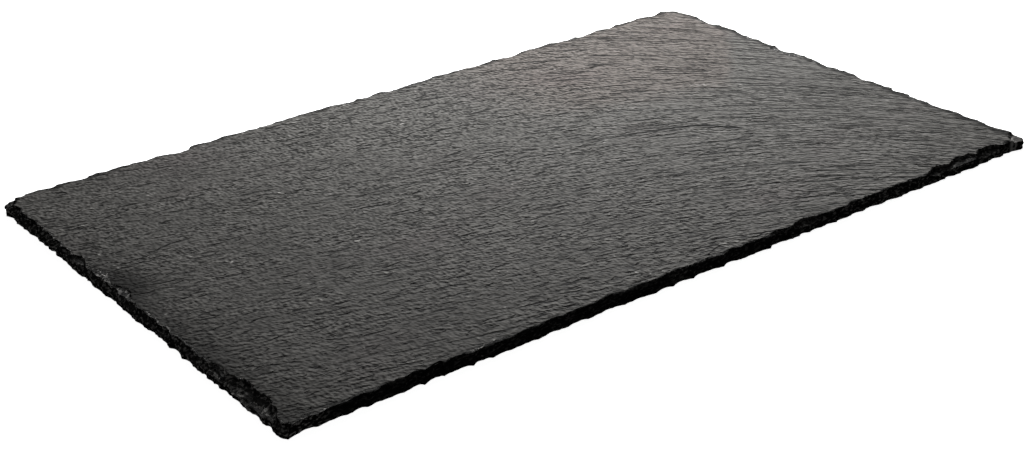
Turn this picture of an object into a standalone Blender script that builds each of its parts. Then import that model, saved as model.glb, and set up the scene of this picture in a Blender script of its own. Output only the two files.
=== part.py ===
# Slate serving board: one split slab of natural slate with hand-knapped edges.
# Metres, +Z up. The origin is at the middle of the underside. The long sides run
# along X, and the front long side is the one at -Y.

import bisect
import collections
import math
import random

import bpy
from mathutils import Vector, geometry, noise

# Driving dimensions of the slab, over its furthest points
LENGTH = 0.530
WIDTH = 0.328
THICKNESS = 0.0085

# How far each corner is worn or clipped round
CORNER_RADIUS = {
    "front_right": 0.0045,
    "back_right": 0.0170,
    "back_left": 0.0060,
    "front_left": 0.0035,
}

# Knapping of each side, as (least, most): the length of one bite along the side, how deep
# it bites, how far the top rim lies behind the outline, and how high the outer wall stands
# as a share of the thickness
KNAPPING = {
    "front": {
        "bite": (0.011, 0.022), "depth": (0.0005, 0.0021),
        "rim": (0.0003, 0.0016), "wall": (0.62, 0.93),
    },
    "right": {
        "bite": (0.012, 0.024), "depth": (0.0008, 0.0031),
        "rim": (0.0005, 0.0026), "wall": (0.42, 0.84),
    },
    "back": {
        "bite": (0.013, 0.027), "depth": (0.0008, 0.0036),
        "rim": (0.0006, 0.0032), "wall": (0.36, 0.80),
    },
    "left": {
        "bite": (0.008, 0.016), "depth": (0.0004, 0.0015),
        "rim": (0.0020, 0.0054), "wall": (0.28, 0.60),
    },
}
LOWER_CHIP_LENGTH = (0.008, 0.018)
LOWER_CHIP_DEPTH = (0.0003, 0.0017)
WALL_STEP_LENGTH = (0.012, 0.038)
WAVER_DEPTH = 0.0012
WAVER_LENGTH = 0.085
CORNER_HOLD = 0.012
RIM_LEAST = 0.0003
BEHIND_RIM = 0.0035
CRUMBLE_LENGTH = 0.006
WALL_BULGE = 0.0004
WALL_BULGE_LENGTH = 0.009

# Scars of single flakes: the side and the place along it, the half length along the side,
# the reach into the board, and the height of the floor at the side and at its inner end
Scar = collections.namedtuple("Scar", "side along half_length reach floor")
FLAKE_SCARS = {
    "front_chip": Scar("front", -0.200, 0.0085, 0.0028, (0.0050, 0.0066)),
    "middle_chip": Scar("front", -0.038, 0.0080, 0.0030, (0.0054, 0.0068)),
    "middle_flake": Scar("front", -0.022, 0.0110, 0.0038, (0.0046, 0.0063)),
    "half_moon": Scar("front", 0.0755, 0.0120, 0.0052, (0.0040, 0.0057)),
    "split_wedge": Scar("front", 0.140, 0.0110, 0.0034, (0.0057, 0.0070)),
    "scoop": Scar("front", 0.187, 0.0115, 0.0058, (0.0037, 0.0055)),
    "terrace": Scar("front", 0.208, 0.0130, 0.0072, (0.0050, 0.0061)),
    "recess": Scar("front", 0.230, 0.0120, 0.0064, (0.0033, 0.0050)),
    "corner_spall": Scar("front", 0.265, 0.0130, 0.0160, (0.0037, 0.0053)),
    "near_tip": Scar("front", -0.264, 0.0055, 0.0075, (0.0033, 0.0048)),
    "long_scar": Scar("left", -0.128, 0.0290, 0.0105, (0.0024, 0.0050)),
    "left_flake": Scar("left", -0.095, 0.0130, 0.0080, (0.0037, 0.0063)),
    "left_ledge": Scar("left", 0.035, 0.0170, 0.0090, (0.0044, 0.0070)),
    "far_tip": Scar("left", 0.160, 0.0110, 0.0095, (0.0037, 0.0057)),
    "back_notch": Scar("right", -0.030, 0.0100, 0.0060, (0.0022, 0.0052)),
}
SCAR_RIPPLE = 0.16
SCAR_RIPPLE_LENGTH = 0.006

# The riven top. The grain runs along the board at the left and bends towards the front at
# the right, and the first three values say how far a grain line has sunk to the front.
GRAIN_SLOPE = 0.12
GRAIN_BEND_START = -0.05
GRAIN_BEND = 4.27
RIDGE_HEIGHT = 0.00026
RIDGE_LENGTH = 0.050
RIDGE_SPACING = 0.0085
LEDGE_HEIGHT = 0.00030
LEDGE_LENGTH = 0.150
LEDGE_SPACING = 0.042
SWELL_HEIGHT = 0.00022
SWELL_SPACING = 0.150
LEFT_DIP = 0.0013
LEFT_DIP_WIDTH = 0.042
TOP_MARGIN = 0.0008

# Faceting
STATION_SPACING = 0.0053
SCAR_SPACING = 0.0030
SCAR_CONTOURS = (0.92, 1.06)
SCAR_CLEARING = 0.12
LEAST_GAP = 0.0007
INNER_RING_INSET = 0.0140
INNER_RING_RADIUS = 0.0100
GRAIN_STRETCH = 5.0
GRID_ALONG_GRAIN = 0.0230
GRID_ACROSS_GRAIN = 0.0043
UNDERSIDE_GRID = 0.045

STONE_COLOUR = (0.066, 0.065, 0.063, 1.0)
STONE_ROUGHNESS = 0.58
SEED = 11


def clear_scene():
    for item in list(bpy.data.objects):
        bpy.data.objects.remove(item, do_unlink=True)


def smooth(share):
    share = min(max(share, 0.0), 1.0)
    return share * share * (3 - 2 * share)


def wave(x, y, layer):
    """Smooth noise from about -1 to 1, with its own pattern for each layer."""
    return noise.noise(Vector((x, y, layer)))


# The plan of the board


def path_around(inset, radius_of):
    """The four straight sides and four rounded corners, front side first, anticlockwise."""
    half_x = LENGTH / 2 - inset
    half_y = WIDTH / 2 - inset
    corners = (
        ("front_right", "front", 1, -1),
        ("back_right", "right", 1, 1),
        ("back_left", "back", -1, 1),
        ("front_left", "left", -1, -1),
    )
    pieces = []
    turn = -math.pi / 2
    before = Vector((-half_x + radius_of("front_left"), -half_y))
    for corner, side, sign_x, sign_y in corners:
        radius = radius_of(corner)
        centre = Vector((sign_x * (half_x - radius), sign_y * (half_y - radius)))
        outward = Vector((math.cos(turn), math.sin(turn)))
        start = centre + radius * outward
        straight = {"side": side, "from": before, "to": start, "outward": outward}
        pieces.append({**straight, "length": (start - before).length})
        arc = {"side": side, "centre": centre, "radius": radius, "turn": turn}
        pieces.append({**arc, "length": radius * math.pi / 2})
        turn += math.pi / 2
        before = centre + radius * Vector((math.cos(turn), math.sin(turn)))
    return pieces


def place_on_path(pieces, distance):
    """(point, outward normal, side) at a distance along the path."""
    for piece in pieces:
        if distance <= piece["length"] or piece is pieces[-1]:
            break
        distance -= piece["length"]
    share = min(distance / piece["length"], 1.0)
    if "from" in piece:
        return piece["from"].lerp(piece["to"], share), piece["outward"], piece["side"]
    turn = piece["turn"] + share * math.pi / 2
    outward = Vector((math.cos(turn), math.sin(turn)))
    return piece["centre"] + piece["radius"] * outward, outward, piece["side"]


def stations_on(pieces, spacing):
    """(point, outward normal, side, distance) at even steps round the path."""
    total = sum(piece["length"] for piece in pieces)
    count = round(total / spacing)
    distances = [total * step / count for step in range(count)]
    return [(*place_on_path(pieces, distance), distance) for distance in distances]


def strike_bites(pieces, length_of, depth_of, draw):
    """Bites laid end to end round the board, each as (start, end, depth, where it is deepest)."""
    total = sum(piece["length"] for piece in pieces)
    bites = []
    start = 0.0
    while start < total:
        side = place_on_path(pieces, start)[2]
        end = min(start + draw.uniform(*length_of(side)), total)
        bites.append((start, end, draw.uniform(*depth_of(side)), draw.uniform(0.3, 0.7)))
        start = end
    return bites


def bite_at(bites, distance):
    return bites[bisect.bisect_right([bite[0] for bite in bites], distance) - 1]


def bitten(bites, distance):
    """How deep the bites cut at this distance: rounded inwards, with a cusp between two bites."""
    start, end, depth, deepest = bite_at(bites, distance)
    share = (distance - start) / (end - start)
    if share < deepest:
        half = share / deepest / 2
    else:
        half = 0.5 + (share - deepest) / (1 - deepest) / 2
    return depth * math.sin(math.pi * half) ** 0.8


def knap_edges(pieces):
    """The breaks round the board: of the outline, the rim and the lower edge, and wall heights."""
    draw = random.Random(SEED)

    def strike(size, depth):
        return strike_bites(pieces, size, depth, draw)

    return {
        "outline": strike(lambda side: KNAPPING[side]["bite"], lambda side: KNAPPING[side]["depth"]),
        "rim": strike(lambda side: KNAPPING[side]["bite"], lambda side: KNAPPING[side]["rim"]),
        "lower": strike(lambda side: LOWER_CHIP_LENGTH, lambda side: LOWER_CHIP_DEPTH),
        "wall": strike(lambda side: WALL_STEP_LENGTH, lambda side: KNAPPING[side]["wall"]),
    }


def outline_inset(breaks, distance, place):
    """How far the outline lies behind the straight side. The corners keep their tips."""
    waver = WAVER_DEPTH * (0.5 + 0.5 * wave(distance / WAVER_LENGTH, 0.0, 6.6))
    from_corner = math.hypot(LENGTH / 2 - abs(place.x), WIDTH / 2 - abs(place.y))
    return (waver + bitten(breaks["outline"], distance)) * smooth(0.15 + from_corner / CORNER_HOLD)


def gap_to_ring(x, y, ring):
    """Distance from a place to the nearest edge of the ring, below nothing outside it."""
    place = Vector((x, y))
    nearest = math.inf
    inside = False
    for (ax, ay, _), (bx, by, _) in zip(ring, ring[1:] + ring[:1]):
        start, end = Vector((ax, ay)), Vector((bx, by))
        share = (place - start).dot(end - start) / (end - start).length_squared
        nearest = min(nearest, (place - start.lerp(end, min(max(share, 0.0), 1.0))).length)
        if (ay > y) != (by > y) and x < ax + (bx - ax) * (y - ay) / (by - ay):
            inside = not inside
    return nearest if inside else -nearest


# The heights of the top


def grain_sink(x):
    return GRAIN_SLOPE * x + GRAIN_BEND * max(0.0, x - GRAIN_BEND_START) ** 3


def top_height(x, y):
    """Height of the riven top: ridges and low ledges along the grain, and a dip to the left."""
    across = y + grain_sink(x)
    ridge = wave(x / RIDGE_LENGTH, across / RIDGE_SPACING, 3.7)
    layers = 3 * wave(x / LEDGE_LENGTH, across / LEDGE_SPACING, 9.1)
    ledge = math.floor(layers) + smooth((layers - math.floor(layers) - 0.35) / 0.3)
    swell = wave(x / SWELL_SPACING, y / SWELL_SPACING, 5.3)
    inner_end = LEFT_DIP_WIDTH * (1 + 0.25 * wave(y / 0.035, 0.0, 1.9))
    dip = smooth((inner_end - LENGTH / 2 - x) / LEFT_DIP_WIDTH) * smooth((0.120 - y) / 0.080)
    height = THICKNESS - TOP_MARGIN + RIDGE_HEIGHT * ridge + LEDGE_HEIGHT * ledge + SWELL_HEIGHT * swell
    return min(height - LEFT_DIP * dip, THICKNESS)


def scar_frame(scar):
    """Centre of the scar on its side, and its half lengths along X and along Y."""
    if scar.side == "front":
        return scar.along, -WIDTH / 2, scar.half_length, scar.reach
    sign = 1 if scar.side == "right" else -1
    return sign * LENGTH / 2, scar.along, scar.reach, scar.half_length


def scar_share(scar, x, y):
    """0 at the middle of a scar on the side, 1 on its rippled rim."""
    centre_x, centre_y, axis_x, axis_y = scar_frame(scar)
    ripple = 1 + SCAR_RIPPLE * wave(x / SCAR_RIPPLE_LENGTH, y / SCAR_RIPPLE_LENGTH, 2.2)
    return math.hypot((x - centre_x) / axis_x, (y - centre_y) / axis_y) * ripple


def scar_height(x, y):
    """Floor of the lowest flake scar over this place, or the full thickness where there is none."""
    lowest = THICKNESS
    for scar in FLAKE_SCARS.values():
        share = scar_share(scar, x, y)
        if share < 1:
            low, high = scar.floor
            lowest = min(lowest, low + (high - low) * share**1.5)
    return lowest


def surface_height(x, y):
    return min(top_height(x, y), scar_height(x, y))


# The points that the facets go through


def edge_profile(breaks, distance, side, place):
    """The outline's inset and height, then (inset, height) of the points behind it."""
    outline = outline_inset(breaks, distance, place)
    rim = outline + RIM_LEAST + bitten(breaks["rim"], distance)
    wall = bite_at(breaks["wall"], distance)[2] * THICKNESS
    crumble = wave(distance / CRUMBLE_LENGTH, 0.0, 4.4)
    foot = outline + (rim - outline) * (0.62 + 0.25 * crumble)
    foot_height = wall + (THICKNESS - wall) * (0.30 + 0.22 * crumble)
    return outline, wall, ((foot, foot_height), (rim, THICKNESS), (rim + BEHIND_RIM, THICKNESS))


def near_scar_rim(x, y):
    low, high = SCAR_CONTOURS[0] - SCAR_CLEARING, SCAR_CONTOURS[1] + SCAR_CLEARING
    return any(low < scar_share(scar, x, y) < high for scar in FLAKE_SCARS.values())


def beyond_other_side(x, y, inset):
    """Whether a point this far in from its own side lies nearer than that to the next side."""
    return min(LENGTH / 2 - abs(x), WIDTH / 2 - abs(y)) < 0.97 * inset


def lay_edge_rings(pieces, breaks):
    """The outline, the ring round the middle of the wall and the lower edge, all matching."""
    outline_ring, middle_ring, lower_ring = [], [], []
    for place, outward, side, distance in stations_on(pieces, STATION_SPACING):
        outline, wall, _ = edge_profile(breaks, distance, side, place)
        x, y = place - outline * outward
        height = min(wall, scar_height(x, y))
        outline_ring.append((x, y, height))
        bulge = wave(distance / WALL_BULGE_LENGTH, 7.7, 0.0)
        x, y = place - (outline + WALL_BULGE * abs(bulge)) * outward
        middle_ring.append((x, y, height * (0.52 + 0.12 * bulge)))
        x, y = place - (outline + bitten(breaks["lower"], distance)) * outward
        lower_ring.append((x, y, 0.0))
    return outline_ring, middle_ring, lower_ring


def lay_rim_points(pieces, breaks, outline_ring):
    """The broken slope behind the outline and the first of the flat top, clear of the scars."""
    found = []
    for place, outward, side, distance in stations_on(pieces, STATION_SPACING):
        for inset, height in edge_profile(breaks, distance, side, place)[2]:
            x, y = place - inset * outward
            if beyond_other_side(x, y, inset) or near_scar_rim(x, y):
                continue
            if gap_to_ring(x, y, outline_ring) > LEAST_GAP / 2:
                found.append((x, y, min(height, surface_height(x, y))))
    return found


def lay_scar_points(outline_ring):
    """Two lines of points round each scar, at the foot and at the top of its inner break."""
    found = []
    for scar in FLAKE_SCARS.values():
        centre_x, centre_y, axis_x, axis_y = scar_frame(scar)
        others = [other for other in FLAKE_SCARS.values() if other is not scar]
        steps = round(2 * math.pi * max(axis_x, axis_y) / SCAR_SPACING)
        for contour in SCAR_CONTOURS:
            for step in range(steps):
                turn = 2 * math.pi * step / steps
                side_x, side_y = axis_x * math.cos(turn), axis_y * math.sin(turn)
                reach = contour / scar_share(scar, centre_x + side_x, centre_y + side_y)
                x, y = centre_x + reach * side_x, centre_y + reach * side_y
                alone = min(scar_share(other, x, y) for other in others) > SCAR_CONTOURS[1]
                if alone and gap_to_ring(x, y, outline_ring) > LEAST_GAP:
                    found.append((x, y, surface_height(x, y)))
    return found


def lay_inner_ring():
    pieces = path_around(INNER_RING_INSET, lambda corner: INNER_RING_RADIUS)
    places = [place for place, _, _, _ in stations_on(pieces, STATION_SPACING * 1.5)]
    return [(place.x, place.y, surface_height(place.x, place.y)) for place in places]


def lay_grain_grid():
    """Points of the top inside the inner ring, in rows along the grain."""
    limit_x = LENGTH / 2 - INNER_RING_INSET - 0.35 * GRID_ALONG_GRAIN
    limit_y = WIDTH / 2 - INNER_RING_INSET - 0.6 * GRID_ACROSS_GRAIN
    lowest = -limit_y + grain_sink(-limit_x)
    rows = math.ceil((limit_y + grain_sink(limit_x) - lowest) / GRID_ACROSS_GRAIN)
    columns = math.ceil(2 * limit_x / GRID_ALONG_GRAIN)
    grid = []
    for row in range(rows + 1):
        for column in range(columns + 1):
            x = -limit_x + (column + 0.5 * (row % 2)) * GRID_ALONG_GRAIN
            y = lowest + row * GRID_ACROSS_GRAIN - grain_sink(x)
            if x <= limit_x and abs(y) <= limit_y:
                grid.append((x, y, top_height(x, y)))
    return grid


def lay_underside_grid():
    half_x, half_y = (LENGTH - UNDERSIDE_GRID) / 2, (WIDTH - UNDERSIDE_GRID) / 2
    columns, rows = round(2 * half_x / UNDERSIDE_GRID), round(2 * half_y / UNDERSIDE_GRID)
    return [
        (half_x * (2 * column / columns - 1), half_y * (2 * row / rows - 1), 0.0)
        for column in range(columns + 1)
        for row in range(rows + 1)
    ]


# The closed skin


def as_drawn(x, y):
    return Vector((x, y))


def along_grain(x, y):
    return Vector((x / GRAIN_STRETCH, y + grain_sink(x)))


class Skin:
    """The points and faces of the slab. A ring or a field of points is a list of indices."""

    def __init__(self):
        self.points = []
        self.faces = []

    def add(self, points):
        first = len(self.points)
        self.points += points
        return list(range(first, len(self.points)))

    def fill(self, ring, inside, squeeze, upward=True, hole=()):
        """Triangles within the ring through the points inside it, but none within the hole."""
        used = ring + inside
        places = {index: position for position, index in enumerate(used)}
        flat = [squeeze(*self.points[index][:2]) for index in used]
        kept_edges = [(places[a], places[b]) for a, b in zip(hole, hole[1:] + hole[:1])] if hole else []
        found = geometry.delaunay_2d_cdt(flat, kept_edges, [list(range(len(ring)))], 1, 1e-7)
        if len(found[0]) != len(flat):
            raise ValueError("two points of the slab fell together")
        for triangle in found[2]:
            face = [used[found[3][corner][0]] for corner in triangle]
            if not all(index in hole for index in face):
                self.faces.append(face if upward else face[::-1])

    def band(self, upper, lower):
        """Four-sided faces between two matching rings, the upper one first."""
        for a, b, c, d in zip(upper, lower, lower[1:] + lower[:1], upper[1:] + upper[:1]):
            self.faces.append([a, b, c, d])

    def fitted(self):
        """The points, brought to the full length and width about the middle of the underside."""
        low = [min(point[axis] for point in self.points) for axis in (0, 1)]
        high = [max(point[axis] for point in self.points) for axis in (0, 1)]
        scale_x, scale_y = LENGTH / (high[0] - low[0]), WIDTH / (high[1] - low[1])
        middle_x, middle_y = (low[0] + high[0]) / 2, (low[1] + high[1]) / 2
        return [((x - middle_x) * scale_x, (y - middle_y) * scale_y, z) for x, y, z in self.points]


def build_skin():
    pieces = path_around(0.0, CORNER_RADIUS.get)
    breaks = knap_edges(pieces)
    outline_ring, middle_ring, lower_ring = lay_edge_rings(pieces, breaks)
    skin = Skin()
    outline = skin.add(outline_ring)
    inner = skin.add(lay_inner_ring())
    edge_points = skin.add(lay_rim_points(pieces, breaks, outline_ring) + lay_scar_points(outline_ring))
    grain_points = skin.add(lay_grain_grid())
    middle = skin.add(middle_ring)
    lower = skin.add(lower_ring)
    floor_points = skin.add(lay_underside_grid())
    skin.fill(outline, inner + edge_points, as_drawn, hole=inner)
    skin.fill(inner, grain_points, along_grain)
    skin.band(outline, middle)
    skin.band(middle, lower)
    skin.fill(lower, floor_points, as_drawn, upward=False)
    return skin


def slate_material():
    material = bpy.data.materials.new("slate")
    material.use_nodes = True
    shader = material.node_tree.nodes["Principled BSDF"]
    shader.inputs["Base Color"].default_value = STONE_COLOUR
    shader.inputs["Roughness"].default_value = STONE_ROUGHNESS
    shader.inputs["Metallic"].default_value = 0.0
    return material


def make_slate_board():
    skin = build_skin()
    mesh = bpy.data.meshes.new("slate_board")
    mesh.from_pydata(skin.fitted(), [], skin.faces)
    mesh.shade_smooth()
    mesh.set_sharp_from_angle(angle=math.radians(24))
    mesh.materials.append(slate_material())
    board = bpy.data.objects.new("slate_board", mesh)
    bpy.context.scene.collection.objects.link(board)


clear_scene()
make_slate_board()
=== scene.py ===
import bisect
import math
import random

import bpy
from mathutils import Matrix, Vector, geometry, noise


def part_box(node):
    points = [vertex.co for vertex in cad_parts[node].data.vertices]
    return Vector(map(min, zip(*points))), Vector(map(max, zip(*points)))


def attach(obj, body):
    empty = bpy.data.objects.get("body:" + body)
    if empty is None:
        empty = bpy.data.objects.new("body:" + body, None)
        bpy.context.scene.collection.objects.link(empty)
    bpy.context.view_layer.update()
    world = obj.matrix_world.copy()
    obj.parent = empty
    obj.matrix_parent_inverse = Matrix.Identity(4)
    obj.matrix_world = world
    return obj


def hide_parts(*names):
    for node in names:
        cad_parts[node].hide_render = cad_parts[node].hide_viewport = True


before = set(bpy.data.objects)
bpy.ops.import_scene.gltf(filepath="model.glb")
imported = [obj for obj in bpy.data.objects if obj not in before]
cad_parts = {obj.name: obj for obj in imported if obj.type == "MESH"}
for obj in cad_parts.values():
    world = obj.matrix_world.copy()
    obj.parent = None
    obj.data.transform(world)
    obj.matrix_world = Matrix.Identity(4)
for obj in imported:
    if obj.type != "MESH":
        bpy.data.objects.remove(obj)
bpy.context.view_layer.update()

# A slate serving board: one riven slab with hand-knapped edges, lying on a pale studio floor.
# Metres, +Z up, the front long side at -Y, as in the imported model.

boardLow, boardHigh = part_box("slate_board")
mm = 0.001


# Node sums: a wire is one socket that can be added, multiplied and so on

class Wire:
    def __init__(self, bench, socket):
        self.bench = bench
        self.socket = socket

    def __add__(self, other):
        return self.bench.math("ADD", self, other)

    def __sub__(self, other):
        return self.bench.math("SUBTRACT", self, other)

    def __rsub__(self, other):
        return self.bench.math("SUBTRACT", other, self)

    def __mul__(self, other):
        return self.bench.math("MULTIPLY", self, other)

    def __truediv__(self, other):
        return self.bench.math("DIVIDE", self, other)

    def __pow__(self, other):
        return self.bench.math("POWER", self, other)

    __radd__ = __add__
    __rmul__ = __mul__


class Bench:
    def __init__(self, tree):
        self.tree = tree

    # the one way to any node: its type, its settings, then the values or wires of its sockets
    def make(self, kind, settings=None, sockets=None, out=0):
        node = self.tree.nodes.new(kind)
        for name, value in (settings or {}).items():
            setattr(node, name, value)
        for name, value in (sockets or {}).items():
            socket = self.pick(node.inputs, name)
            if isinstance(value, Wire):
                self.tree.links.new(value.socket, socket)
            else:
                socket.default_value = value
        return Wire(self, self.pick(node.outputs, out)) if node.outputs else node

    def pick(self, sockets, name):
        shown = [socket for socket in sockets if socket.enabled]
        if isinstance(name, int):
            return shown[name]
        return next(socket for socket in shown if socket.name == name)

    def math(self, operation, *values):
        return self.make("ShaderNodeMath", {"operation": operation}, dict(enumerate(values)))

    def split(self, vector):
        parts = self.make("ShaderNodeSeparateXYZ", None, {"Vector": vector}).socket.node
        return [Wire(self, socket) for socket in parts.outputs]

    def join(self, x, y, z):
        return self.make("ShaderNodeCombineXYZ", None, {"X": x, "Y": y, "Z": z})

    # noise from about -1 to 1
    def cloud(self, vector, detail=0.0, roughness=0.5, distortion=0.0):
        sockets = {"Vector": vector, "Scale": 1.0, "Detail": detail}
        sockets.update({"Roughness": roughness, "Distortion": distortion})
        return self.make("ShaderNodeTexNoise", None, sockets, "Fac") * 2.0 - 1.0

    # 0 up to 'start', 1 from 'end', smooth between
    def ramp(self, value, start, end):
        sockets = {"Value": value, "From Min": start, "From Max": end, "To Min": 0.0, "To Max": 1.0}
        return self.make("ShaderNodeMapRange", {"interpolation_type": "SMOOTHSTEP"}, sockets)

    def tint(self, share, first, second, blend="MIX"):
        settings = {"data_type": "RGBA", "blend_type": blend}
        return self.make("ShaderNodeMix", settings, {"Factor": share, "A": first, "B": second})


# The slab

slab = {
    "length": boardHigh[0] - boardLow[0],
    "width": boardHigh[1] - boardLow[1],
    "thickness": boardHigh[2] - boardLow[2],
    "corners": {  # worn or clipped round, by radius
        "frontRight": 4.5 * mm, "backRight": 17 * mm, "backLeft": 6 * mm, "frontLeft": 3.5 * mm,
    },
    # bites along each side, as least and most: length, depth, how far the rim lies behind the
    # outline, and how high the outer wall stands as a share of the thickness
    "knapping": {
        "front": {"bite": (0.011, 0.022), "depth": (0.0005, 0.0021),
                  "rim": (0.0003, 0.0016), "wall": (0.62, 0.93)},
        "right": {"bite": (0.012, 0.024), "depth": (0.0008, 0.0031),
                  "rim": (0.0005, 0.0026), "wall": (0.42, 0.84)},
        "back": {"bite": (0.013, 0.027), "depth": (0.0008, 0.0036),
                 "rim": (0.0006, 0.0032), "wall": (0.36, 0.80)},
        "left": {"bite": (0.008, 0.016), "depth": (0.0004, 0.0015),
                 "rim": (0.0020, 0.0054), "wall": (0.28, 0.60)},
    },
    "lowerChip": {"bite": (0.005, 0.014), "depth": (0.0002, 0.0012)},
    "wallStep": (0.012, 0.038),
    "waver": 1.2 * mm,
    "waverLength": 85 * mm,
    "cornerHold": 12 * mm,
    "seed": 11,
    # the broken wall is a stack of thin layers, each with bites of its own
    "layers": 7,
    "layerBite": (0.004, 0.022),
    "layerDepth": (0.0, 0.00075),
    "layerWander": 0.28,
    "layerSeed": 47,
    "batter": 0.05 * mm,
    # how far the rim of each side is worn even: 0 keeps its bites, 1 leaves only crumbs
    "rimEvenness": {"front": 0.25, "right": 0.3, "back": 0.3, "left": 0.75},
    "stationStep": 0.9 * mm,
    "shelf": (0.6, 1.3, 2.1, 3.1, 4.3, 5.7, 7.3, 9.2, 11.4, 14.0, 17.0),
    "grainStep": (3.2 * mm, 1.25 * mm),
    "floorStep": 7.5 * mm,
    "leftDip": 1.3 * mm,
    "leftDipWidth": 42 * mm,
    "topMargin": 0.8 * mm,
    "scarRelief": 0.45,  # how much of the riven relief the floor of a scar keeps
    "sharpAngle": 38,
}

# grain lines run along the board at the left and bend to the front at the right
grain = {
    "slope": 0.21, "bendStart": -0.05, "bend": 4.27,
    # slow and quick wavering: length, spacing, how far, and layer of the noise
    "waver": (45 * mm, 18 * mm, 1.6 * mm, 2.5),
    "shiver": (6 * mm, 5 * mm, 0.9 * mm, 6.5),
}

# scars of single flakes: side, place along it, half length, reach into the board, and the
# height of the floor at the side and at its inner end
flakeScars = {
    "frontChip": ("front", -0.200, 0.0085, 0.0028, 0.0050, 0.0066),
    "middleChip": ("front", -0.038, 0.0080, 0.0030, 0.0054, 0.0068),
    "middleFlake": ("front", -0.022, 0.0110, 0.0038, 0.0046, 0.0063),
    "halfMoon": ("front", 0.0755, 0.0120, 0.0052, 0.0040, 0.0057),
    "splitWedge": ("front", 0.140, 0.0110, 0.0034, 0.0057, 0.0070),
    "scoop": ("front", 0.187, 0.0115, 0.0058, 0.0037, 0.0055),
    "terrace": ("front", 0.208, 0.0130, 0.0072, 0.0050, 0.0061),
    "recess": ("front", 0.230, 0.0120, 0.0064, 0.0033, 0.0050),
    "cornerSpall": ("front", 0.265, 0.0120, 0.0125, 0.0052, 0.0062),
    "nearTip": ("front", -0.264, 0.0055, 0.0075, 0.0033, 0.0048),
    "longScar": ("left", -0.128, 0.0290, 0.0105, 0.0024, 0.0050),
    "leftFlake": ("left", -0.095, 0.0130, 0.0080, 0.0037, 0.0063),
    "leftLedge": ("left", 0.037, 0.0150, 0.0100, 0.0056, 0.0066),
    "leftArc": ("left", 0.060, 0.0090, 0.0066, 0.0048, 0.0060),
    "leftPocket": ("left", 0.010, 0.0130, 0.0090, 0.0052, 0.0062),
    "farTip": ("left", 0.160, 0.0110, 0.0095, 0.0037, 0.0057),
    "backNotch": ("right", -0.030, 0.0100, 0.0060, 0.0022, 0.0052),
    "farPeel": ("right", 0.120, 0.0170, 0.0092, 0.0069, 0.0074),
    "farStep": ("right", 0.082, 0.0140, 0.0080, 0.0064, 0.0072),
    "farFacet": ("right", 0.044, 0.0180, 0.0112, 0.0069, 0.0074),
    "farSliver": ("right", 0.004, 0.0150, 0.0088, 0.0066, 0.0073),
    "farShelf": ("right", -0.084, 0.0190, 0.0096, 0.0067, 0.0073),
    "backPeel": ("back", 0.170, 0.0170, 0.0090, 0.0067, 0.0073),
    "backFacet": ("back", 0.030, 0.0180, 0.0094, 0.0068, 0.0073),
    "backSliver": ("back", -0.150, 0.0150, 0.0086, 0.0067, 0.0073),
}
scarRipple = {"share": 0.16, "length": 6 * mm, "gather": 0.14, "terraces": 3}


def smooth(share):
    share = min(max(share, 0.0), 1.0)
    return share * share * (3 - 2 * share)


def wave(x, y, layer):
    return noise.noise(Vector((x, y, layer)))


# Places on the plan. A station is a piece of the path round the board and a share of it,
# and its inset moves it in towards the middle.

def pathAround(inset):
    halfX = slab["length"] / 2 - inset
    halfY = slab["width"] / 2 - inset
    corners = (
        ("frontRight", "front", 1, -1),
        ("backRight", "right", 1, 1),
        ("backLeft", "back", -1, 1),
        ("frontLeft", "left", -1, -1),
    )
    pieces = []
    turn = -math.pi / 2
    before = Vector((-halfX + slab["corners"]["frontLeft"], -halfY))
    for corner, side, signX, signY in corners:
        radius = slab["corners"][corner]
        centre = Vector((signX * (halfX - radius), signY * (halfY - radius)))
        outward = Vector((math.cos(turn), math.sin(turn)))
        start = centre + radius * outward
        pieces.append({"side": side, "from": before, "to": start, "length": (start - before).length})
        pieces.append({"side": side, "centre": centre, "radius": radius, "turn": turn,
                       "length": radius * math.pi / 2})
        turn += math.pi / 2
        before = centre + radius * Vector((math.cos(turn), math.sin(turn)))
    return pieces


def spot(pieces, index, share):
    piece = pieces[index]
    if "from" in piece:
        return piece["from"].lerp(piece["to"], share)
    turn = piece["turn"] + share * math.pi / 2
    return piece["centre"] + piece["radius"] * Vector((math.cos(turn), math.sin(turn)))


def pieceAt(pieces, distance):
    for index, piece in enumerate(pieces):
        if distance <= piece["length"] or piece is pieces[-1]:
            return index, min(distance / piece["length"], 1.0)
        distance -= piece["length"]


# Bites laid end to end round the board, each as start, end, depth and where it is deepest

def strikeBites(pieces, lengthOf, depthOf, draw):
    total = sum(piece["length"] for piece in pieces)
    bites = []
    start = 0.0
    while start < total:
        side = pieces[pieceAt(pieces, start)[0]]["side"]
        end = min(start + draw.uniform(*lengthOf(side)), total)
        bites.append((start, end, draw.uniform(*depthOf(side)), draw.uniform(0.3, 0.7)))
        start = end
    return bites


def biteAt(bites, distance):
    return bites[bisect.bisect_right(bites, distance, key=lambda bite: bite[0]) - 1]


def bitten(bites, distance):
    start, end, depth, deepest = biteAt(bites, distance)
    share = (distance - start) / (end - start)
    if share < deepest:
        half = share / deepest / 2
    else:
        half = 0.5 + (share - deepest) / (1 - deepest) / 2
    return depth * max(math.sin(math.pi * half), 0.0) ** 0.8


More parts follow.
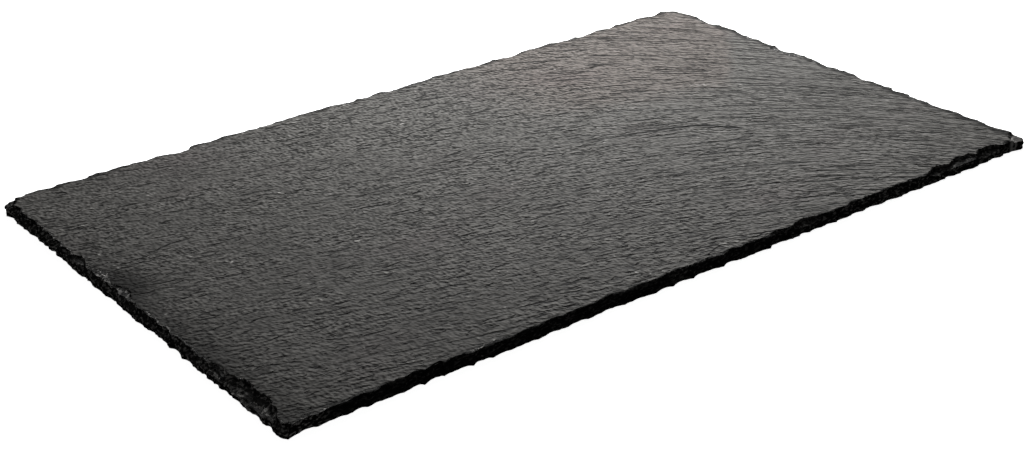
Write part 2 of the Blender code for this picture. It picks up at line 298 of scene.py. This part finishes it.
def knapEdges(pieces):
    draw = random.Random(slab["seed"])
    knapping = slab["knapping"]

    def strike(size, depth):
        return strikeBites(pieces, size, depth, draw)

    def bite(side):
        return knapping[side]["bite"]

    lower = slab["lowerChip"]
    breaks = {
        "outline": strike(bite, lambda side: knapping[side]["depth"]),
        "rim": strike(bite, lambda side: knapping[side]["rim"]),
        "lower": strike(lambda side: lower["bite"], lambda side: lower["depth"]),
        "wall": strike(lambda side: slab["wallStep"], lambda side: knapping[side]["wall"]),
    }
    draw = random.Random(slab["layerSeed"])
    breaks["layers"] = [
        strike(lambda side: slab["layerBite"], lambda side: slab["layerDepth"])
        for layer in range(slab["layers"])
    ]
    return breaks


# Heights of the slab before its riven relief

def grainSink(x):
    return grain["slope"] * x + grain["bend"] * max(0.0, x - grain["bendStart"]) ** 3


def topHeight(x, y):
    innerEnd = slab["leftDipWidth"] * (1 + 0.25 * wave(y / 0.035, 0.0, 1.9))
    dip = smooth((innerEnd - slab["length"] / 2 - x) / slab["leftDipWidth"])
    dip *= smooth((0.120 - y) / 0.080)
    return slab["thickness"] - slab["topMargin"] - slab["leftDip"] * dip


def scarAxes(scar):
    side, along, halfLength, reach = scar[:4]
    if side in ("front", "back"):
        sign = 1 if side == "back" else -1
        return along, sign * slab["width"] / 2, halfLength, reach
    sign = 1 if side == "right" else -1
    return sign * slab["length"] / 2, along, reach, halfLength


# 0 at the middle of a scar on the side, 1 on its rippled rim
def scarShare(scar, x, y):
    centreX, centreY, axisX, axisY = scarAxes(scar)
    share = math.hypot((x - centreX) / axisX, (y - centreY) / axisY)
    if share > 1.5:
        return share
    length = scarRipple["length"]
    return share * (1 + scarRipple["share"] * wave(x / length, y / length, 2.2))


# draws a place near the rim of a scar towards it, so that the break there is steep
def gatherToScar(x, y):
    shares = {name: scarShare(scar, x, y) for name, scar in flakeScars.items()}
    nearest = min(shares, key=lambda name: abs(shares[name] - 1))
    off = shares[nearest] - 1
    if abs(off) >= scarRipple["gather"]:
        return x, y
    centreX, centreY = scarAxes(flakeScars[nearest])[:2]
    target = 1 + off * (abs(off) / scarRipple["gather"]) ** 0.8
    scale = target / shares[nearest]
    return centreX + (x - centreX) * scale, centreY + (y - centreY) * scale


def scarHeight(x, y):
    lowest = slab["thickness"]
    for scar in flakeScars.values():
        share = scarShare(scar, x, y)
        if share < 1:
            low, high = scar[4:]
            step = share**1.5 * scarRipple["terraces"] + 0.35 * wave(x / 0.004, y / 0.004, 8.8)
            step = math.floor(step) + smooth((step - math.floor(step) - 0.3) / 0.4)
            lowest = min(lowest, low + (high - low) * min(max(step / scarRipple["terraces"], 0.0), 1.0))
    return lowest


# The closed skin: points with the weight of the top's relief, of the broken stone and of the
# underside's dents

class Skin:
    def __init__(self):
        self.points = []
        self.weights = []
        self.faces = []

    def add(self, points, weights):
        first = len(self.points)
        self.points += points
        self.weights += weights
        return list(range(first, len(self.points)))

    def band(self, upper, lower):
        for a, b, c, d in zip(upper, lower, lower[1:] + lower[:1], upper[1:] + upper[:1]):
            self.faces.append([a, b, c, d])

    def fill(self, ring, inside, squeeze, upward=True):
        used = ring + inside
        flat = [squeeze(*self.points[index][:2]) for index in used]
        found = geometry.delaunay_2d_cdt(flat, [], [list(range(len(ring)))], 1, 1e-8)
        for triangle in found[2]:
            face = [used[found[3][corner][0]] for corner in triangle]
            self.faces.append(face if upward else face[::-1])

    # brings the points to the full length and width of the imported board
    def fit(self):
        low = [min(point[axis] for point in self.points) for axis in (0, 1)]
        high = [max(point[axis] for point in self.points) for axis in (0, 1)]
        scaleX, scaleY = slab["length"] / (high[0] - low[0]), slab["width"] / (high[1] - low[1])
        middleX, middleY = (low[0] + high[0]) / 2, (low[1] + high[1]) / 2
        self.points = [((x - middleX) * scaleX, (y - middleY) * scaleY, z) for x, y, z in self.points]


def edgeInset(breaks, distance, place):
    waver = slab["waver"] * (0.5 + 0.5 * wave(distance / slab["waverLength"], 0.0, 6.6))
    fromCorner = math.hypot(slab["length"] / 2 - abs(place.x), slab["width"] / 2 - abs(place.y))
    return (waver + bitten(breaks["outline"], distance)) * smooth(0.15 + fromCorner / slab["cornerHold"])


# (inset, height) of every level of the broken edge at one station, from the floor to the rim
def edgeColumn(breaks, distance, place, side):
    thickness = slab["thickness"]
    outline = edgeInset(breaks, distance, place)
    rimDepth = slab["knapping"][side]["rim"]
    even = 0.75 * (rimDepth[0] + rimDepth[1]) / 2
    ragged = 0.9 * mm * wave(distance / 0.0055, 1.2, 3.3) + 0.5 * mm * wave(distance / 0.0021, 4.2, 3.3)
    evenness = slab["rimEvenness"][side]
    rim = outline + 0.3 * mm + (1 - evenness) * bitten(breaks["rim"], distance)
    rim += max(evenness * (even + ragged * rimDepth[1] / 0.0035), 0.0)
    wall = biteAt(breaks["wall"], distance)[2] * thickness
    crumble = wave(distance / 0.006, 0.0, 4.4)
    foot = outline + (rim - outline) * (0.62 + 0.25 * crumble)
    footHeight = wall + (thickness - wall) * (0.30 + 0.22 * crumble)
    bulge = 0.4 * mm * abs(wave(distance / 0.009, 7.7, 0.0))
    corners = [
        (0.0, outline + bitten(breaks["lower"], distance)),
        (0.5 * wall, outline + bulge),
        (wall, outline),
        (footHeight, foot),
        (thickness, rim),
    ]
    column = []
    layers = slab["layers"]
    for level in range(2 * layers):
        layer = level // 2
        height = (layer + (0.94 if level % 2 else 0.06)) / layers
        if level:
            height += slab["layerWander"] * wave(distance / 0.013, layer * 3.1, 5.5) / layers
        else:
            height = 0.0
        height = min(height, 1.0) * thickness
        upper = next(index for index in range(1, 5) if height <= corners[index][0] or index == 4)
        (z0, inset0), (z1, inset1) = corners[upper - 1], corners[upper]
        inset = inset0 + (inset1 - inset0) * min((height - z0) / (z1 - z0), 1.0)
        inset += bitten(breaks["layers"][layer], distance) + slab["batter"] * level
        column.append((inset, height))
    return column


def layEdge(skin, breaks, pieces):
    total = sum(piece["length"] for piece in pieces)
    count = round(total / slab["stationStep"])
    shelf = [inset * mm for inset in slab["shelf"]]
    levels = 2 * slab["layers"]
    rows = [[] for level in range(levels + len(shelf))]
    weights = [[] for row in rows]
    paths = {}

    def put(row, index, share, inset, height, weight):
        key = round(inset / (0.01 * mm))
        if key not in paths:
            paths[key] = pathAround(key * 0.01 * mm)
        x, y = spot(paths[key], index, share)
        if row >= levels:
            x, y = gatherToScar(x, y)
        top = min(topHeight(x, y), scarHeight(x, y))
        scarred = scarHeight(x, y) < topHeight(x, y)
        rows[row].append((x, y, min(height, top)))
        riven, broken = weight
        if scarred:
            riven, broken = riven * slab["scarRelief"], 1.0
        weights[row].append((riven, broken, 0.0))
        return height >= top

    for station in range(count):
        distance = total * station / count
        index, share = pieceAt(pieces, distance)
        place = spot(pieces, index, share)
        side = pieces[index]["side"]
        inset = 0.0
        capped = False
        for level, (own, height) in enumerate(edgeColumn(breaks, distance, place, side)):
            inset = max(own, inset + slab["batter"]) if capped else own
            riven = smooth(height / slab["thickness"] * 1.4 - 0.4)
            capped = put(level, index, share, inset, height, (riven, 1.0)) or capped
        rim = max(inset, 0.0)
        for step, depth in enumerate(shelf):
            share0 = depth / shelf[-1]
            inset = rim + depth * (1 - rim / shelf[-1] * share0)
            put(levels + step, index, share, inset, slab["thickness"], (1.0, 0.0))
    return [skin.add(points, weight) for points, weight in zip(rows, weights)]


def layGrainGrid(skin):
    stepAlong, stepAcross = slab["grainStep"]
    inset = slab["shelf"][-1] * mm
    limitX = slab["length"] / 2 - inset - 0.5 * stepAlong
    limitY = slab["width"] / 2 - inset - 0.7 * stepAcross
    lowest = -limitY + grainSink(-limitX)
    rows = math.ceil((limitY + grainSink(limitX) - lowest) / stepAcross)
    columns = math.ceil(2 * limitX / stepAlong)
    points = []
    for row in range(rows + 1):
        for column in range(columns + 1):
            x = -limitX + (column + 0.5 * (row % 2)) * stepAlong
            y = lowest + row * stepAcross - grainSink(x)
            cornerX, cornerY = limitX - abs(x), limitY - abs(y)
            if cornerX >= 0 and cornerY >= 0 and math.hypot(cornerX, cornerY) > 6 * mm:
                points.append((x, y, topHeight(x, y)))
    return skin.add(points, [(1.0, 0.0, 0.0)] * len(points))


def layFloorGrid(skin):
    step = slab["floorStep"]
    halfX, halfY = slab["length"] / 2 - 1.5 * step, slab["width"] / 2 - 1.5 * step
    columns, rows = round(2 * halfX / step), round(2 * halfY / step)
    points = [
        (halfX * (2 * column / columns - 1), halfY * (2 * row / rows - 1), 0.0)
        for column in range(columns + 1)
        for row in range(rows + 1)
    ]
    return skin.add(points, [(0.0, 0.0, 1.0)] * len(points))


def alongGrain(x, y):
    return Vector((x * slab["grainStep"][1] / slab["grainStep"][0], y + grainSink(x)))


def asDrawn(x, y):
    return Vector((x, y))


def cutSlab():
    pieces = pathAround(0.0)
    breaks = knapEdges(pieces)
    skin = Skin()
    rows = layEdge(skin, breaks, pieces)
    for lower, upper in zip(rows, rows[1:]):
        skin.band(upper, lower)
    skin.fill(rows[-1], layGrainGrid(skin), alongGrain)
    skin.fill(rows[0], layFloorGrid(skin), asDrawn, upward=False)
    skin.fit()
    mesh = bpy.data.meshes.new("slateSlab")
    mesh.from_pydata(skin.points, [], skin.faces)
    for position, name in enumerate(("riven", "broken", "bed")):
        layer = mesh.attributes.new(name, "FLOAT", "POINT")
        layer.data.foreach_set("value", [weight[position] for weight in skin.weights])
    piece = bpy.data.objects.new("slateSlab", mesh)
    bpy.context.scene.collection.objects.link(piece)
    print("slab cut:", len(skin.points), "points,", len(skin.faces), "faces")
    return piece


# The distance across the grain, the same all along one wavering grain line
def grainLine(bench, x, y):
    past = bench.math("MAXIMUM", x - grain["bendStart"], 0.0)
    line = y + x * grain["slope"] + past**3.0 * grain["bend"]
    for name in ("waver", "shiver"):
        length, spacing, far, layer = grain[name]
        line = line + bench.cloud(bench.join(x / length, y / spacing, layer), 1.0) * far
    return line


# Where the split runs from one thin layer to the next: each whole number is one layer more
def ledgeStack(bench, along, across):
    return bench.cloud(bench.join(along, across, 12.6), 2.0, 0.55) * 6.0


# one long split beside the middle: its course over the grain lines, where it fades in, the step
# and the end at the right, where it is wider
longSplit = {
    "course": (0.09, 16.5 * mm), "fadeIn": (0.035, 0.120), "step": (0.127, 0.135), "stepDrop": 7 * mm,
    "end": (0.136, 0.143), "widen": (0.120, 0.129), "wider": 0.9, "halfWidth": (0.6 * mm, 2.1 * mm),
}


def splitLine(bench, x, across):
    slope, start = longSplit["course"]
    course = x * slope + start - bench.ramp(x, *longSplit["step"]) * longSplit["stepDrop"]
    wider = bench.ramp(x, *longSplit["widen"]) * longSplit["wider"] + 1
    off = bench.math("ABSOLUTE", across - course) / wider
    shown = bench.ramp(x, *longSplit["fadeIn"]) * (1 - bench.ramp(x, *longSplit["end"]))
    return (1 - bench.ramp(off, *longSplit["halfWidth"])) * shown


# The riven relief, as a geometry node tree

relief = {
    "Ridge Height": 0.18 * mm,
    "Ridge Length": 13 * mm,
    "Ridge Spacing": 2.9 * mm,
    "Ledge Height": 0.10 * mm,
    "Ledge Length": 60 * mm,
    "Ledge Spacing": 13 * mm,
    "Swell Height": 0.12 * mm,
    "Swell Length": 120 * mm,
    "Swell Spacing": 34 * mm,
    "Crumb Depth": 0.45 * mm,
    "Crumb Size": 2.2 * mm,
    "Bed Dent": 0.35 * mm,
    "Seed": 3.0,
}


def rivenTree(material):
    tree = bpy.data.node_groups.new("rivenRelief", "GeometryNodeTree")
    bench = Bench(tree)
    tree.interface.new_socket("Geometry", in_out="INPUT", socket_type="NodeSocketGeometry")
    for name, value in relief.items():
        entry = tree.interface.new_socket(name, in_out="INPUT", socket_type="NodeSocketFloat")
        entry.default_value = value
    tree.interface.new_socket("Geometry", in_out="OUTPUT", socket_type="NodeSocketGeometry")
    given = tree.nodes.new("NodeGroupInput")
    size = {socket.name: Wire(bench, socket) for socket in given.outputs}

    def weight(name):
        return bench.make("GeometryNodeInputNamedAttribute", {"data_type": "FLOAT"}, {"Name": name})

    place = bench.make("GeometryNodeInputPosition")
    x, y, z = bench.split(place)
    seed = size["Seed"]
    across = grainLine(bench, x, y)
    swellAt = bench.join(x / size["Swell Length"], across / size["Swell Spacing"], seed + 1.7)
    swell = bench.cloud(swellAt, 1.0)
    ridgeAt = bench.join(x / size["Ridge Length"], across / size["Ridge Spacing"], seed + 4.1)
    ridge = bench.cloud(ridgeAt, 2.0, 0.6)
    stack = ledgeStack(bench, x / size["Ledge Length"], across / size["Ledge Spacing"])
    sheet = bench.math("FLOOR", stack)
    ledge = sheet + bench.ramp(stack - sheet, 0.40, 0.60)
    lift = swell * size["Swell Height"] + ridge * size["Ridge Height"]
    lift = (lift + ledge * size["Ledge Height"] * 0.5) * weight("riven")
    dent = bench.math("ABSOLUTE", bench.cloud(bench.join(x / 0.05, across / 0.02, seed + 2.2), 2.0))
    lift = lift + dent * size["Bed Dent"] * weight("bed")

    # crumbs and small chips of the broken wall, pushed in level with the floor
    cells = bench.join(x / size["Crumb Size"], y / size["Crumb Size"], z / (size["Crumb Size"] * 0.45))
    cell = {"Vector": cells, "Scale": 1.0}
    chip = bench.make("ShaderNodeTexVoronoi", {"feature": "F1"}, cell, "Distance")
    rough = bench.cloud(bench.join(x / 0.0016, y / 0.0016, z / 0.0009), 2.0, 0.6)
    push = (chip * 0.8 + rough * 0.35) * size["Crumb Depth"] * weight("broken")
    normalX, normalY, normalZ = bench.split(bench.make("GeometryNodeInputNormal", out="Normal"))
    raised = bench.ramp(z, 0.0, 0.0015)
    offset = bench.join(normalX * push * -1.0, normalY * push * -1.0, lift - normalZ * push * raised)
    wire = size["Geometry"]
    wire = bench.make("GeometryNodeSetPosition", None, {"Geometry": wire, "Offset": offset})
    wire = bench.make("GeometryNodeRealizeInstances", None, {"Geometry": wire})
    wire = bench.make("GeometryNodeSetMaterial", None, {"Geometry": wire, "Material": material})
    done = tree.nodes.new("NodeGroupOutput")
    tree.links.new(wire.socket, done.inputs["Geometry"])
    return tree


def raiseRelief(piece, material):
    tree = rivenTree(material)
    modifier = piece.modifiers.new("rivenRelief", "NODES")
    modifier.node_group = tree
    for item in tree.interface.items_tree:
        if item.in_out == "INPUT" and item.name in relief:
            modifier[item.identifier] = relief[item.name]
    graph = bpy.context.evaluated_depsgraph_get()
    finished = bpy.data.meshes.new_from_object(piece.evaluated_get(graph), depsgraph=graph)
    piece.modifiers.clear()
    piece.data = finished
    finished.shade_smooth()
    finished.set_sharp_from_angle(angle=math.radians(slab["sharpAngle"]))
    print("relief raised:", len(finished.polygons), "faces")


# The finish of the stone

slate = {
    "dark": (0.0130, 0.0128, 0.0122, 1.0),
    "pale": (0.1340, 0.1300, 0.1232, 1.0),
    "rust": (1.06, 0.985, 0.965, 1.0),
    "plum": (1.03, 0.975, 1.000, 1.0),
    "shade": (0.0120, 0.0118, 0.0112, 1.0),
    # the colour of painted glints
    "paintedGlint": (0.3800, 0.3700, 0.3550, 1.0),
    "fleck": (0.5200, 0.5080, 0.4900, 1.0),
    # the broken stone as a shaded and a lit copy, mixed by slope as painted shade
    "brokenShaded": (0.0050, 0.0050, 0.0050, 1.0),
    "brokenLit": (0.0800, 0.0790, 0.0770, 1.0),
    "roughness": (0.75, 0.92),
    "brokenRoughness": 0.85,
    "specular": 0.06,
    "baseTone": 0.42,
    "toneRange": (-0.95, 1.15),  # from dark to pale
    # how lively the strokes are: everywhere, and more at the right, far away and where drawn out
    "lively": {"base": 0.76, "right": 0.32, "far": 0.30, "drawn": 0.16},
    "drawnOut": (0.0, 0.16),  # strokes grow longer and paler to the right between these places
    "crumbHeight": 0.5 * mm,
}

# strokes of the split: length along the grain and spacing across it, layer of the noise, how
# much they lighten the stone and how far they rise; the ones with a width are grooves, darkened
# as painted shade in them
strokes = {
    "line": {"length": 14 * mm, "spacing": 4.5 * mm, "layer": 1.1, "detail": (1.0, 0.8),
             "tone": 0.15, "rise": 0.40 * mm},
    "thread": {"length": 4.5 * mm, "spacing": 3.0 * mm, "layer": 3.9, "tone": 0.45, "rise": 0.45 * mm},
    "grit": {"length": 1.8 * mm, "spacing": 2.3 * mm, "layer": 5.7, "tone": 1.20, "rise": 0.40 * mm},
    "nick": {"length": 8.0 * mm, "spacing": 5.0 * mm, "layer": 2.6, "width": 1.3 * mm,
             "tone": -1.00, "rise": -0.55 * mm},
    "crack": {"length": 26 * mm, "spacing": 9.0 * mm, "layer": 7.2, "width": 1.7 * mm,
              "tone": -1.70, "rise": -0.75 * mm},
    "fibre": {"length": 50 * mm, "spacing": 8.0 * mm, "layer": 5.2, "width": 2.1 * mm,
              "tone": -1.70, "rise": -0.70 * mm},
}

# marks in one place of the top: where they are, how large and how strong
marks = {
    "fromHeight": (3.0 * mm, 4.5 * mm),  # the underside has none of them
    "undersideShift": 0.7,  # and other strokes, from this far along the noise
    # the long split is darkened as painted shade in its crack, and sunk by its rise
    "split": {"tone": -2.20, "rise": -0.40 * mm},
    # painted shade along the step of each ledge
    "ledgeShade": -0.08,
    # painted shade along the left edge, where the top dips away from the light
    "leftShade": {"from": (0.240, 0.262), "behind": (0.0, 0.08), "share": 0.60},
    # painted shade in one patch beside the left edge
    "shadePatch": {"centre": (-0.262, 0.016), "size": (0.026, 0.032), "share": 0.60},
    # painted shade on the rims of the right and back sides, where the edges roll off
    "rimShade": {"right": (0.2550, 0.2585), "back": (0.1560, 0.1595), "ragged": 7 * mm, "share": 0.80},
    "cornerFacet": {"centre": (0.265, -0.164), "size": (12 * mm, 12.5 * mm)},
}


# Noise drawn out along the grain
def streak(bench, at, length, spacing, layer, detail=0.0, roughness=0.5, shift=0.0):
    across = at["across"] + shift if shift else at["across"]
    return bench.cloud(bench.join(at["along"] / length, across / spacing, layer), detail, roughness)


# Thin grooves of one width: a drawn-out noise has opposite signs on their two sides
def groove(bench, at, length, spacing, layer, width):
    near = streak(bench, at, length, spacing, layer, 1.0, shift=-width / 2)
    far = streak(bench, at, length, spacing, layer, 1.0, shift=width / 2)
    return bench.ramp(near * far * -1.0, 0.0, 0.25 * (width / spacing) ** 2)


# How far a place is from a mark's centre, 1 at its rim
def reachOf(bench, at, mark):
    (centreX, centreY), (sizeX, sizeY) = mark["centre"], mark["size"]
    offset = bench.join((at["x"] - centreX) / sizeX, (at["y"] - centreY) / sizeY, 0.0)
    return bench.make("ShaderNodeVectorMath", {"operation": "LENGTH"}, {"Vector": offset}, "Value")


def scratchStrokes(bench, at):
    found = {}
    for name, stroke in strokes.items():
        size = stroke["length"], stroke["spacing"], stroke["layer"]
        if "width" in stroke:
            found[name] = groove(bench, at, *size, stroke["width"])
        else:
            found[name] = streak(bench, at, *size, *stroke.get("detail", ()))
    found["crack"] = found["crack"] * bench.ramp(streak(bench, at, 0.012, 0.006, 9.8), -0.30, 0.40)
    found["fibre"] = found["fibre"] * (at["drawn"] * 0.8 + 0.2)
    return found


def sumOf(found, share):
    return sum(found[name] * stroke[share] for name, stroke in strokes.items())


def howLively(bench, at):
    lively = slate["lively"]
    far = bench.ramp(at["y"], 0.0, 0.14) * bench.ramp(at["x"], -0.15, 0.05)
    right = bench.ramp(at["x"], -0.24, 0.02)
    calm = bench.ramp(streak(bench, at, 0.050, 0.016, 3.3, 1.0), -0.35, 0.35)
    level = right * lively["right"] + far * lively["far"] + at["drawn"] * lively["drawn"] + lively["base"]
    return level * (calm * 0.50 + 0.78)


def rivenColour(bench, at, found, lively, split):
    x, y, upper = at["x"], at["y"], at["upper"]
    stack = ledgeStack(bench, x / relief["Ledge Length"], at["across"] / relief["Ledge Spacing"])
    within = bench.math("FRACT", stack)
    # painted shade along the step of each ledge
    ledgeShade = bench.ramp(within, 0.34, 0.44) * (1 - bench.ramp(within, 0.50, 0.60))
    patch = streak(bench, at, 0.09, 0.03, 4.4, 2.0)
    # the grooves' negative tone is painted shade in them; the other strokes are the stone's own tone
    tone = (sumOf(found, "tone") + slate["baseTone"]) * lively + patch * 0.03 + at["drawn"] * 0.20
    # the long split darkened as painted shade in its crack
    tone = bench.ramp(tone + ledgeShade * marks["ledgeShade"] + split * marks["split"]["tone"], *slate["toneRange"])
    top = bench.tint(tone, slate["dark"], slate["pale"])

    # plum tint in stains, rust tint at the far right up to a straight bound
    stain = bench.cloud(bench.join(at["along"] / 0.12, y / 0.07, 8.1), 2.0)
    top = bench.tint(bench.ramp(stain, 0.05, 0.5) * 0.8, top, slate["plum"], "MULTIPLY")
    rusty = bench.ramp(0.173 + y * 0.935 - x + patch * 0.012, -0.002, 0.012)
    rusty = rusty * bench.ramp(y + x * 0.3 + patch * 0.02, 0.055, 0.095) * bench.ramp(x, 0.02, 0.11)
    top = bench.tint(rusty * upper, top, slate["rust"], "MULTIPLY")

    # painted shade along the left edge, where the top dips away from the light, in one patch beside it,
    # and on the rims of the far sides where the edges roll off
    shade = marks["leftShade"]
    shaded = bench.ramp(patch * 0.010 - x, *shade["from"]) * bench.ramp(0.10 - y, *shade["behind"])
    top = bench.tint(shaded * upper * shade["share"], top, slate["shade"])
    # a patch of painted shade beside the left edge
    shadePatch = marks["shadePatch"]
    patchShade = bench.ramp(1 - reachOf(bench, at, shadePatch) + patch * 0.25, 0.0, 0.7)
    top = bench.tint(patchShade * upper * shadePatch["share"], top, slate["shade"])
    # painted shade on the right and back rims, where the edges roll off from the light
    rim = marks["rimShade"]
    ragged = bench.cloud(bench.join(x / 0.014, y / 0.014, 7.7), 1.0) * rim["ragged"]
    rightRimShade, backRimShade = bench.ramp(x + ragged, *rim["right"]), bench.ramp(y + ragged, *rim["back"])
    rimShaded = bench.math("MAXIMUM", rightRimShade, backRimShade)
    top = bench.tint(rimShaded * upper * rim["share"], top, slate["shade"])

    # painted glints: small pale specks in clusters that stand in for catch-lights
    cluster = bench.ramp(streak(bench, at, 0.026, 0.011, 6.1, 1.0), 0.12, 0.45)
    paintedGlint = bench.ramp(found["thread"] * 0.6 + found["grit"] * 0.8, 0.40, 0.66) * cluster
    return bench.tint(paintedGlint * 0.8, top, slate["paintedGlint"])


# The broken edges, with painted shade by slope: flat crumbs are grey as if lit, steep breaks nearly black
# as if shaded, random facets between
def brokenColour(bench, at):
    x, y, z = at["x"], at["y"], at["z"]
    steepness = bench.split(bench.make("ShaderNodeNewGeometry", out="Normal"))[2]
    facet = bench.cloud(bench.join(x / 0.0022, y / 0.0022, z / 0.0012), 3.0, 0.7)
    flatness = bench.ramp(steepness + facet * 0.45, 0.35, 1.0)
    wall = bench.tint(flatness * bench.ramp(facet, -0.5, 0.5), slate["brokenShaded"], slate["brokenLit"])

    # flecks, mostly at the left and towards the right, paler on steep walls as painted light where the
    # lamps don't reach, and specks of painted glint that gather at the right corner
    fleck = bench.ramp(bench.cloud(bench.join(x / 0.0024, y / 0.0024, z / 0.0012), 1.0), 0.05, 0.35)
    shown = bench.ramp(-1.0 * x, 0.235, 0.250) * 0.80 + bench.ramp(x, 0.03, 0.12) * 0.30 + 0.12
    # grey crumbs, painted paler on the steep walls as painted light
    wall = bench.tint(fleck * shown * (1 - flatness * 0.55), wall, slate["fleck"])
    # painted glints as bright specks on the broken stone
    glintSpeck = bench.ramp(bench.cloud(bench.join(x / 0.0019, y / 0.0015, z / 0.0014)), 0.34, 0.50)
    corner = bench.ramp(x - y, 0.395, 0.410)
    loose = bench.cloud(bench.join(x / 0.016, y / 0.016, 3.4), 1.0)
    glintSpeck = glintSpeck * bench.ramp(corner + loose, -0.10, 0.30)
    wall = bench.tint(glintSpeck * (flatness * 0.8 + 0.2), wall, slate["paintedGlint"])

    # painted shade on the breaks of the right side, and the pale facet of the corner with chips round it
    rightBreakShade = bench.ramp(bench.cloud(bench.join(y / 0.016, z / 0.004, 1.8), 1.0), -0.20, 0.10)
    wall = bench.tint(rightBreakShade * bench.ramp(x, 0.236, 0.248) * 0.85, wall, slate["brokenShaded"])
    reach = reachOf(bench, at, marks["cornerFacet"])
    wall = bench.tint((1 - bench.ramp(reach, 0.90, 1.15)) * flatness * 0.6, wall, slate["pale"])
    ring = 1 - bench.ramp(bench.math("ABSOLUTE", reach - 0.95), 0.08, 0.30)
    ring = ring * bench.ramp(bench.cloud(bench.join(x / 0.0016, y / 0.0016, 9.1)), -0.25, 0.15)
    return bench.tint(ring * 0.9, wall, slate["fleck"])


def slateMaterial():
    material = bpy.data.materials.new("rivenSlate")
    material.use_nodes = True
    material.node_tree.nodes.clear()
    bench = Bench(material.node_tree)
    broken = bench.make("ShaderNodeAttribute", {"attribute_name": "broken"}, out="Fac")
    x, y, z = bench.split(bench.make("ShaderNodeTexCoord", out="Object"))
    upper = bench.ramp(z, *marks["fromHeight"])
    at = {
        "x": x, "y": y, "z": z, "upper": upper,
        "across": grainLine(bench, x, y),
        "along": x + (1 - upper) * marks["undersideShift"],
        "drawn": bench.ramp(x, *slate["drawnOut"]),
    }
    found = scratchStrokes(bench, at)
    lively = howLively(bench, at)
    split = splitLine(bench, x, at["across"]) * upper
    colour = bench.tint(broken, rivenColour(bench, at, found, lively, split), brokenColour(bench, at))

    low, high = slate["roughness"]
    shine = bench.ramp(found["grit"] * 0.6 + found["line"] * 0.5, -0.6, 0.6) * (high - low) + low
    shine = shine * (1 - broken) + broken * slate["brokenRoughness"]

    height = sumOf(found, "rise") * lively + split * marks["split"]["rise"]
    crumb = bench.cloud(bench.join(x / 0.0012, y / 0.0012, z / 0.0008), 3.0, 0.65)
    height = height * (1 - broken) + crumb * broken * slate["crumbHeight"]
    bump = bench.make("ShaderNodeBump", None, {"Strength": 1.0, "Distance": 1.0, "Height": height})
    finish = bench.make("ShaderNodeBsdfPrincipled", None, {
        "Base Color": colour, "Roughness": shine, "Normal": bump, "Specular IOR Level": slate["specular"],
    })
    bench.make("ShaderNodeOutputMaterial", None, {"Surface": finish})
    print("finish mixed:", len(material.node_tree.nodes), "nodes")
    return material


# The studio: a pale floor, a camera and soft lights

studio = {
    "floorSize": 12.0,
    "floorColour": (0.90, 0.90, 0.90, 1.0),
    "floorGlow": (0.95, 0.95, 0.95, 1.0),
    "floorRoughness": 0.9,
    "lens": 64.39,
    "sensor": 36.0,
    "target": (-0.0517, -0.0569, 0.004),
    "distance": 1.0347,
    "azimuth": 36.276,
    "elevation": 25.673,
    "roll": -1.642,
    "air": (0.06, 0.06, 0.06, 1.0),
    # softboxes: place, aim, size and power
    "lights": {
        "back": {"place": (0.58, 0.56, 0.45), "aim": (0.05, 0.05, 0.0),
                 "size": (0.5, 0.4), "watts": 15.3},
        "above": {"place": (0.10, 0.134, 0.20), "aim": (0.10, 0.05, 0.0),
                  "size": (0.4, 0.3), "watts": 0.45},
    },
}


def layFloor():
    half = studio["floorSize"] / 2
    mesh = bpy.data.meshes.new("studioFloor")
    corners = [(-half, -half, 0), (half, -half, 0), (half, half, 0), (-half, half, 0)]
    mesh.from_pydata(corners, [], [(0, 1, 2, 3)])
    floor = bpy.data.objects.new("studioFloor", mesh)
    bpy.context.scene.collection.objects.link(floor)
    material = bpy.data.materials.new("paleFloor")
    material.use_nodes = True
    shader = material.node_tree.nodes["Principled BSDF"]
    shader.inputs["Base Color"].default_value = studio["floorColour"]
    shader.inputs["Roughness"].default_value = studio["floorRoughness"]
    shader.inputs["Emission Color"].default_value = studio["floorGlow"]
    shader.inputs["Emission Strength"].default_value = 1.0
    mesh.materials.append(material)
    floor.visible_diffuse = False
    floor.visible_glossy = False


def hangLights():
    for name, light in studio["lights"].items():
        data = bpy.data.lights.new(name, "AREA")
        data.shape = "RECTANGLE"
        data.size, data.size_y = light["size"]
        data.energy = light["watts"]
        lamp = bpy.data.objects.new(name, data)
        lamp.location = light["place"]
        lamp.visible_camera = False
        towards = Vector(light["aim"]) - Vector(light["place"])
        lamp.rotation_euler = towards.to_track_quat("-Z", "Y").to_euler()
        bpy.context.scene.collection.objects.link(lamp)
    world = bpy.data.worlds.new("studioAir")
    world.use_nodes = True
    world.node_tree.nodes["Background"].inputs["Color"].default_value = studio["air"]
    bpy.context.scene.world = world
    bpy.context.scene.view_settings.view_transform = "Standard"


def standCamera():
    data = bpy.data.cameras.new("studioCamera")
    data.lens = studio["lens"]
    data.sensor_width = studio["sensor"]
    camera = bpy.data.objects.new("studioCamera", data)
    azimuth, elevation = math.radians(studio["azimuth"]), math.radians(studio["elevation"])
    ahead = Vector((
        math.sin(azimuth) * math.cos(elevation),
        math.cos(azimuth) * math.cos(elevation),
        -math.sin(elevation),
    ))
    aimed = ahead.to_track_quat("-Z", "Y").to_matrix()
    turned = aimed @ Matrix.Rotation(math.radians(studio["roll"]), 3, "Z")
    place = Vector(studio["target"]) - studio["distance"] * ahead
    camera.matrix_world = Matrix.Translation(place) @ turned.to_4x4()
    bpy.context.scene.collection.objects.link(camera)
    bpy.context.scene.camera = camera


standCamera()
hangLights()
layFloor()
print("studio ready")

slateSlab = cutSlab()
raiseRelief(slateSlab, slateMaterial())
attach(slateSlab, "root")
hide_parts("slate_board")
print("slab finished")
